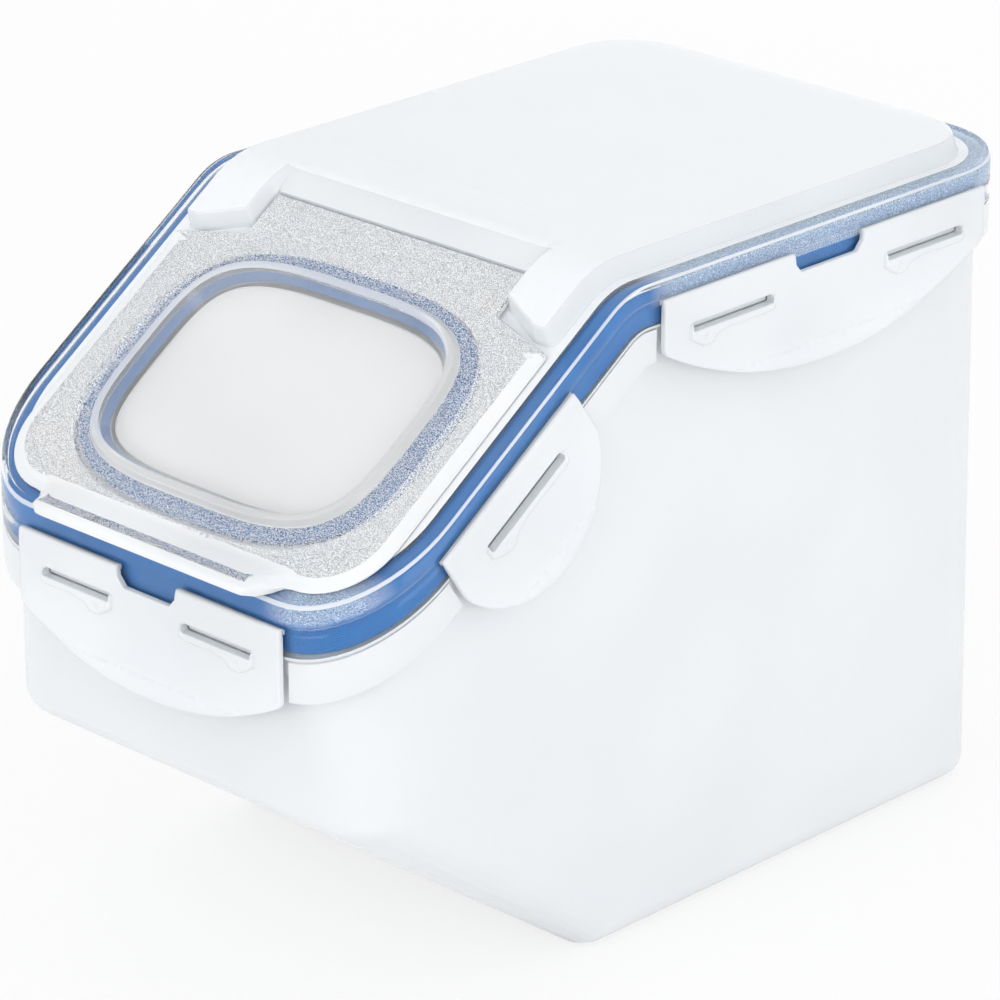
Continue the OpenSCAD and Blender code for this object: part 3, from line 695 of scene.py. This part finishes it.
def make_flap(name, frame_of, length, side, depth, slots, slot_len, bump_side, notch, materials):
    shell = Shell()
    edge = flap_outline(length, side, depth, notch)
    holes = [slot_outline(u, slot_len) for u in slots]
    pads = [pad_outline(u, slot_len, bump_side) for u in slots]
    bump = bump_side * (slot_len / 2 - 1.5 * BUMP_R)
    dimples = [np.array([u + bump, -PAD_LOW - 0.1]) for u in slots]
    chord = -depth + GRIP_H
    half = FLAP_T / 2

    def rolled(p, at_hinge, elsewhere):
        """How far a face falls towards the outline, which is rounded."""
        roll = np.where(p[:, 1] > 0, at_hinge, elsewhere)
        k = np.clip(1 - depth_in(edge, p) / roll, 0, 1)
        return roll * (1 - np.sqrt(np.maximum(1 - k * k, 0))) * ROLL_SHARE

    def outside(p):
        h = half + GRIP_T * soft((chord - p[:, 1]) / GRIP_EDGE)
        for pad, dimple in zip(pads, dimples):
            h += PAD_T * read(PAD_EDGE, depth_in(pad, p))
            far = np.linalg.norm(p - dimple, axis=1)
            h -= DIMPLE_DEEP * np.clip(1 - (far / DIMPLE_R) ** 2, 0, 1)
        for hole in holes:
            h -= read(SLOT_EDGE, -depth_in(hole, p))
        return h - rolled(p, 0.9, 0.45)

    def inside(p):
        return rolled(p, 0.8, 0.3) - half

    def place(p, h):
        return frame_of(np.stack([p[:, 0], p[:, 1], h], -1))

    along = steps(-length / 2 + 1, length / 2 - 1, 3)
    rows = [np.stack([along, np.full(len(along), chord - drop)], -1)
            for drop in (0, 0.35, 0.75, GRIP_EDGE)]
    dots = np.concatenate([grid(-length / 2 + 2, length / 2 - 2, -depth + 1, -1, 3.6, 2.6), *rows])
    dots = dots[depth_in(edge, dots) > 1.3]
    rings = [shifted(edge, d) for d in (0.12, 0.3, 0.6, 0.95)]
    marks = [shifted(pad, d) for pad in pads for d in (-0.05, 0.25, 0.7)]
    rims = [shifted(hole, -d) for hole in holes for d in (0.2, 0.4)]
    turns = np.linspace(0, 2 * math.pi, 12, endpoint=False)
    circle = np.stack([np.cos(turns), np.sin(turns)], -1)
    spots = [dimple + r * circle for dimple in dimples for r in (0.3, 0.6, DIMPLE_R)]
    outer_dots = clear_of(dots, pads + holes, 0.8)
    for dimple in dimples:
        outer_dots = outer_dots[np.linalg.norm(outer_dots - dimple, axis=1) > DIMPLE_R + 0.4]
    shell.sheet([edge, *rings, *holes, *rims, *marks], np.concatenate([outer_dots, *spots]),
                place, outside, 0, True, edge, holes)
    shell.sheet([edge, shifted(edge, 0.3), shifted(edge, 0.8), *holes], clear_of(dots, holes, 0.8),
                place, inside, 0, False, edge, holes)
    for loop in [edge, *holes]:
        shell.loft([place(loop, outside(loop)), place(loop, inside(loop))])
    shell.make(name + "_moulding", name, materials, name)


def frame_front(p):
    return np.stack([p[:, 0], -SLOPE_RUN - HINGE_OUT - p[:, 2], p[:, 1] - DROP], -1)


def frame_back(p):
    return np.stack([-p[:, 0], TOP_RUN + HINGE_OUT + p[:, 2], p[:, 1]], -1)


def frame_side(sign, slope):
    def at(p):
        x = sign * (HALF + HINGE_OUT + p[:, 2])
        if slope:
            return on_slope(x, SLOPE_FLAP_S - p[:, 0], p[:, 1])
        return np.stack([x, TOP_FLAP_Y + p[:, 0], p[:, 1]], -1)
    return at


def make_flaps(materials):
    # Length, depth at the ends and in the middle, slots' places and length, the bumps' side, notch
    end = (END_LEN, 20.0, 32.5, (-26.15, 26.15), 25.3, 1, 22.0, materials)
    top = (TOP_LEN, 13.7, 30.4, (-37.75, 37.75), 30.5, -1, 27.0, materials)
    low = (SLOPE_FLAP_LEN, 14.0, 35.0, (0.0,), 31.4, -1, 0, materials)
    make_flap("front_flap", frame_front, *end)
    make_flap("back_flap", frame_back, *end)
    for word, sign in (("right", 1), ("left", -1)):
        make_flap(word + "_top_flap", frame_side(sign, False), *top)
        make_flap(word + "_slope_flap", frame_side(sign, True), *low)


# ---- Seals --------------------------------------------------------------

# Section of the lid's seal: (inset from the rim, height)
LID_SEAL = [(1.75, 3.55), (1.95, 3.68), (7.5, 3.68), (7.7, 3.5), (7.7, 2.35), (7.45, 2.1), (4.1, 2.1),
            (3.5, 1.8), (3.3, 1.2), (3.3, -5.4), (3.05, -5.9), (2.5, -6.0), (1.95, -5.9), (1.72, -5.4),
            (1.7, -2.0), (1.7, 3.3)]

# Section of the door's seal, from its outer edge to the ring: (inner distance inside the ring, share
# of the way to it, height)
DOOR_SEAL = [(0.7, 0, 5.35), (0.7, 0.05, 5.55), (0.7, 0.14, 5.6), (0.7, 0.86, 5.6), (0.7, 0.97, 5.55),
             (0.7, 1, 5.4), (3.0, 1, 3.8), (3.0, 0.97, 3.65), (3.0, 0.8, 3.6), (3.0, 0.62, 4.0),
             (3.0, 0.4, 4.0), (3.0, 0.16, 3.6), (3.0, 0.05, 3.65), (3.0, 0, 3.9), (3.0, 0, 5.35)]


def make_seals(rubber):
    shell = Shell()
    shell.loft(along_rim(LID_SEAL + LID_SEAL[:1]))
    shell.make("lid_seal_ring", "lid", [rubber], "lid_gasket")
    shell = Shell()
    outer = oval(SEAL_W, SEAL_LEN, SEAL_POWER, len(ring_loop)) - [0, POUR_S]
    loops = []
    for inner, share, h in DOOR_SEAL:
        p = outer + (shifted(ring_loop, inner) - outer) * share
        loops.append(on_slope(p[:, 0], -p[:, 1], h))
    shell.loft(loops)
    shell.make("door_seal_ring", "door", [rubber], "door_gasket")


# ---- Body ---------------------------------------------------------------

BODY_WELD, BODY_FLAT, BODY_SHARP = 0.01 * MM, math.radians(0.6), math.radians(32)


def make_body(materials):
    """The body keeps the CAD solid's shape, with its small facets joined into smooth surfaces."""
    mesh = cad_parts["bin_body"].data.copy()
    mesh.name = "bin_moulding"
    mesh.materials.clear()
    for m in materials:
        mesh.materials.append(m)
    piece = add_piece(mesh, "bin", "bin_body")
    if mesh.has_custom_normals:
        with bpy.context.temp_override(object=piece, active_object=piece):
            bpy.ops.mesh.customdata_custom_splitnormals_clear()
    bm = bmesh.new()
    bm.from_mesh(mesh)
    bmesh.ops.remove_doubles(bm, verts=bm.verts, dist=BODY_WELD)
    bmesh.ops.dissolve_limit(bm, angle_limit=BODY_FLAT, verts=bm.verts, edges=bm.edges)
    for f in bm.faces:
        f.smooth = True
    for e in bm.edges:
        e.smooth = len(e.link_faces) == 2 and e.calc_face_angle(0) < BODY_SHARP
    bm.to_mesh(mesh)
    bm.free()


# ---- Materials ----------------------------------------------------------

class Nodes:
    """Short calls for a node tree."""

    def __init__(self, tree):
        self.tree = tree

    def add(self, kind, **values):
        node = self.tree.nodes.new(kind)
        for key, value in values.items():
            setattr(node, key, value)
        return node

    def link(self, output, socket):
        self.tree.links.new(output, socket)

    def remap(self, value, low, high, start=0.3, end=0.7):
        """Low where value is start and below, high where it is end and above."""
        node = self.add("ShaderNodeMapRange")
        for key, number in (("From Min", start), ("From Max", end), ("To Min", low), ("To Max", high)):
            node.inputs[key].default_value = number
        self.link(value, node.inputs["Value"])
        return node.outputs["Result"]

    def math(self, operation, first, second):
        node = self.add("ShaderNodeMath", operation=operation)
        self.link(first, node.inputs[0])
        self.link(second, node.inputs[1])
        return node.outputs[0]


class Plastic(Nodes):
    """A new material. Coordinates are the object's own, in metres."""

    def __init__(self, name):
        self.material = bpy.data.materials.new(name)
        self.material.use_nodes = True
        super().__init__(self.material.node_tree)
        self.shader = self.tree.nodes["Principled BSDF"]
        self.place = self.add("ShaderNodeTexCoord").outputs["Object"]

    def noise(self, size, detail):
        """A noise whose features are about size millimetres wide."""
        node = self.add("ShaderNodeTexNoise")
        node.inputs["Scale"].default_value = 1 / (size * MM)
        node.inputs["Detail"].default_value = detail
        self.link(self.place, node.inputs["Vector"])
        return node.outputs["Fac"]

    def past(self, value, limits, zero=0.0):
        """0 before the first limit and 1 after the second, both in millimetres from zero."""
        return self.remap(value, 0, 1, *((zero + limit) * MM for limit in limits))

    def along(self, way):
        """How far a place lies along a direction."""
        node = self.add("ShaderNodeVectorMath", operation="DOT_PRODUCT")
        self.link(self.place, node.inputs[0])
        node.inputs[1].default_value = way
        return node.outputs["Value"]

    def between(self, share, first, second):
        """Number mix of two outputs."""
        node = self.add("ShaderNodeMix", data_type="FLOAT")
        self.link(share, node.inputs["Factor"])
        self.link(first, node.inputs[2])
        self.link(second, node.inputs[3])
        return node.outputs[0]

    def paint(self, share, first, second):
        """Base colour mixed from two."""
        node = self.add("ShaderNodeMix", data_type="RGBA")
        self.link(share, node.inputs["Factor"])
        node.inputs[6].default_value = (*first, 1)
        node.inputs[7].default_value = (*second, 1)
        self.link(node.outputs[2], self.shader.inputs["Base Color"])

    def skin(self, rough, clear=None):
        """Roughness and how much light the plastic lets through."""
        self.link(rough, self.shader.inputs["Roughness"])
        if clear:
            self.link(clear, self.shader.inputs["Transmission Weight"])

    def bump(self, *heights):
        """Bumps stacked: (output, depth in millimetres)."""
        last = None
        for value, depth in heights:
            node = self.add("ShaderNodeBump")
            node.inputs["Distance"].default_value = depth * MM
            self.link(value, node.inputs["Height"])
            if last:
                self.link(last, node.inputs["Normal"])
            last = node.outputs["Normal"]
        self.link(last, self.shader.inputs["Normal"])


# Share of a fine noise that turns from clear to white specks
SPECKS, DENSE_SPECKS = (0.42, 0.58), (0.39, 0.55)


def plastic(name, pale, deep, rough, clear):
    """Smooth milky polypropylene, with the slow changes of haze and the faint waviness of a moulding."""
    n = Plastic(name)
    cloud, slow = n.noise(24, 1.5), n.noise(40, 0)
    n.paint(n.remap(cloud, 0, 1), pale, deep)
    n.skin(n.remap(cloud, *rough), n.remap(slow, *clear))
    n.shader.inputs["IOR"].default_value = 1.49
    n.bump((slow, 0.03))
    return n.material


def frosted(name, pale, deep, rough, clear, grain, depth, specks=SPECKS):
    """Etched polypropylene: clear and white specks side by side, so that what lies close under it
    shows as a stipple."""
    n = Plastic(name)
    fine, cloud = n.noise(grain, 1), n.noise(24, 1.5)
    n.paint(n.remap(cloud, 0, 1), pale, deep)
    n.skin(n.remap(fine, *rough, 0.4, 0.6), n.remap(fine, *clear, *specks))
    n.bump((fine, depth))
    return n.material


# Where the shelf and skirt are frosted and painted pale blue, a painted blue light of the seal scattered
# by the frosting: the level part down to the rim line, and the right front corner. Each pair is where
# the frosting starts and where it is full.
LEVEL_Y, LEVEL_Z = (6, 14), (-1.1, -0.8)
CORNER_X, CORNER_S, CORNER_H = (40, 50), (94, 103), (1.0, 2.0)


def shelf_plastic():
    """The lid's shelf and skirt: polished on the slope, frosted on the level part and one corner, and
    painted pale blue where frosted, for the seal's light scattered through it.
    """
    n = Plastic("plastic_shelf")
    fine, cloud = n.noise(0.3, 1.5), n.noise(22, 3)
    axes = n.add("ShaderNodeSeparateXYZ")
    n.link(n.place, axes.inputs[0])
    behind = n.past(axes.outputs["Y"], LEVEL_Y, BEND_Y)
    above = n.past(axes.outputs["Z"], LEVEL_Z, BACK_H)
    right = n.past(axes.outputs["X"], CORNER_X)
    low = n.past(n.along((0, -COS, -SIN)), CORNER_S, -BEND_Y * COS - BACK_H * SIN)
    high = n.past(n.along((0, -SIN, COS)), CORNER_H, -BEND_Y * SIN + BACK_H * COS)
    near_corner = n.math("MULTIPLY", n.math("MULTIPLY", right, low), high)
    frost_and_seal_light = n.math("MAXIMUM", n.math("MULTIPLY", behind, above), near_corner)
    # Painted light: the frosted parts are tinted pale blue for the seal's light that the frosting
    # scatters
    n.paint(frost_and_seal_light, (0.93, 0.97, 1.0), (0.72, 0.86, 1.0))
    n.skin(n.between(frost_and_seal_light, n.remap(cloud, 0.05, 0.09), n.remap(fine, 0.12, 0.3)),
           n.between(frost_and_seal_light, n.remap(cloud, 0.99, 0.97), n.remap(fine, 0.85, 0.4, *SPECKS)))
    # Lower than the plastic's own, so that no edge of the rim goes black by total reflection
    n.shader.inputs["IOR"].default_value = 1.36
    n.bump((cloud, 0.02))
    return n.material


def silicone():
    """Blue silicone with a satin, slightly dusty skin."""
    n = Plastic("silicone_blue")
    fine, cloud = n.noise(0.35, 2), n.noise(9, 3)
    n.paint(n.remap(cloud, 0, 1), (0.003, 0.215, 0.63), (0.006, 0.250, 0.71))
    n.skin(n.remap(fine, 0.32, 0.46))
    n.shader.inputs["Specular IOR Level"].default_value = 0.25
    n.bump((cloud, 0.05), (fine, 0.01))
    return n.material


PALE, BLUISH, WHITISH = (0.95, 0.977, 1.0), (0.938, 0.968, 1.0), (0.985, 0.992, 1.0)
GREYISH, SMOKY = (0.965, 0.978, 0.993), (0.96, 0.972, 0.985)

# Name, pale and deep colour, roughness and transmission
body_plastic = plastic("plastic_body", PALE, (0.943, 0.972, 1.0), (0.2, 0.25), (0.22, 0.25))
wall_plastic = plastic("plastic_lid_wall", PALE, BLUISH, (0.2, 0.26), (0.22, 0.28))
# Less clear than the shelf beside it, so that its bands show as white: painted highlights along the
# rim's edges and on the film hinges
highlight_plastic = plastic("plastic_painted_highlight", PALE, BLUISH, (0.12, 0.18), (0.3, 0.4))
flap_plastic = plastic("plastic_flap", PALE, BLUISH, (0.14, 0.2), (0.22, 0.28))
# Whiter and less clear than the door's face: the thick lip's milkiness, and a painted highlight on the
# bevelled edge
lip_and_highlight_plastic = plastic("plastic_lip_and_highlight", (0.975, 0.988, 1.0), PALE, (0.12, 0.18), (0.14, 0.22))
clear_plastic = plastic("plastic_clear", (0.965, 0.98, 1.0), (0.955, 0.975, 0.995), (0.05, 0.09),
                        (0.92, 0.96))
dish_plastic = plastic("plastic_dish_wall", GREYISH, SMOKY, (0.1, 0.16), (0.78, 0.84))
window_plastic = plastic("plastic_window", GREYISH, SMOKY, (0.2, 0.26), (0.22, 0.28))
ring_plastic = plastic("plastic_ring", GREYISH, SMOKY, (0.14, 0.2), (0.4, 0.48))
# The same, then the grain's width and depth
frosted_top = frosted("plastic_frosted_top", PALE, BLUISH, (0.5, 0.4), (0.03, 0.2), 0.35, 0.012)
frosted_door = frosted("plastic_frosted_door", WHITISH, PALE, (0.5, 0.12), (0.1, 0.85), 0.3, 0.01)
stippled_door = frosted("plastic_stippled_door", WHITISH, PALE, (0.5, 0.12), (0.2, 1.0), 0.3, 0.01,
                        DENSE_SPECKS)
lid_clear = shelf_plastic()
blue = silicone()

make_lid([frosted_top, lid_clear, wall_plastic, highlight_plastic])
make_door([frosted_door, clear_plastic, window_plastic, lip_and_highlight_plastic, ring_plastic, dish_plastic,
           stippled_door])
make_flaps([flap_plastic])
make_seals(blue)
make_body([body_plastic])
for name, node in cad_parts.items():
    # The film hinges, the CAD nodes left in view, take the highlight plastic: a painted highlight along
    # each hinge
    own = body_plastic if name == "bin_body" else blue if "gasket" in name else highlight_plastic
    node.data.materials.clear()
    node.data.materials.append(own)


# ---- Stage, light and camera --------------------------------------------

# Strength of the white background as it is seen, and of the same sky as it lights the bin
SEEN_SKY, LIGHT_SKY = 1.0, 0.96
FLOOR_COLOR = (0.93, 0.93, 0.93, 1)
FLOOR_GLOW = 0.75

# Soft lamps: name, place in metres, side in metres and power in watts. They point at LAMP_AIM.
LAMPS = (("key", (-0.4, -1.75, 0.05), 1.2, 10),
         ("fill", (1.7, -0.3, 0.3), 1.2, 8),
         ("back", (-0.9, 1.5, 0.0), 0.9, 4))
LAMP_AIM = (0, 0, 0.1)

# The photograph's camera, solved from the edges in it: degrees, metres, and millimetres of lens
CAMERA_AZIMUTH, CAMERA_ELEVATION = 44.22, 22.06
CAMERA_PLACE = (0.8837, -0.90865, 0.6121)
CAMERA_LENS, CAMERA_SENSOR = 183.65, 36


def seen_directly(n):
    """1 for rays from the camera, from gloss and through plastic, 0 for light that falls on things."""
    path = n.add("ShaderNodeLightPath").outputs
    gloss = n.math("MAXIMUM", path["Is Camera Ray"], path["Is Glossy Ray"])
    return n.math("MAXIMUM", gloss, path["Is Transmission Ray"])


def make_floor():
    bpy.ops.mesh.primitive_plane_add(size=6)
    floor = bpy.context.object
    floor.name = "floor"
    material = bpy.data.materials.new("floor_paper")
    material.use_nodes = True
    material.node_tree.nodes.clear()
    n = Nodes(material.node_tree)
    paper, glow = n.add("ShaderNodeBsdfDiffuse"), n.add("ShaderNodeEmission")
    paper.inputs["Color"].default_value = FLOOR_COLOR
    glow.inputs["Strength"].default_value = SEEN_SKY
    mix, out = n.add("ShaderNodeMixShader"), n.add("ShaderNodeOutputMaterial")
    n.link(n.remap(seen_directly(n), 0, FLOOR_GLOW, 0, 1), mix.inputs[0])
    n.link(paper.outputs[0], mix.inputs[1])
    n.link(glow.outputs[0], mix.inputs[2])
    n.link(mix.outputs[0], out.inputs[0])
    floor.data.materials.append(material)


def make_world():
    world = bpy.data.worlds.new("studio")
    bpy.context.scene.world = world
    world.use_nodes = True
    n = Nodes(world.node_tree)
    sky = world.node_tree.nodes["Background"]
    sky.inputs["Color"].default_value = (1, 1, 1, 1)
    n.link(n.remap(seen_directly(n), LIGHT_SKY, SEEN_SKY, 0, 1), sky.inputs["Strength"])


def stand(name, data, place, way):
    """Puts a lamp or the camera at a place, looking along a direction."""
    thing = bpy.data.objects.new(name, data)
    bpy.context.scene.collection.objects.link(thing)
    thing.location = place
    thing.rotation_euler = way.to_track_quat("-Z", "Y").to_euler()
    return thing


def make_lamps():
    for name, place, size, power in LAMPS:
        light = bpy.data.lights.new(name, "AREA")
        light.shape, light.size, light.energy = "SQUARE", size, power
        stand(name, light, place, Vector(LAMP_AIM) - Vector(place))


def make_camera():
    azimuth, elevation = math.radians(CAMERA_AZIMUTH), math.radians(CAMERA_ELEVATION)
    way = Vector((-math.sin(azimuth) * math.cos(elevation), math.cos(azimuth) * math.cos(elevation),
                  -math.sin(elevation)))
    data = bpy.data.cameras.new("camera")
    data.lens, data.sensor_width = CAMERA_LENS, CAMERA_SENSOR
    data.clip_start, data.clip_end = 0.05, 20
    bpy.context.scene.camera = stand("camera", data, CAMERA_PLACE, way)


make_floor()
make_world()
make_lamps()
make_camera()
bpy.context.scene.view_settings.view_transform = "Standard"
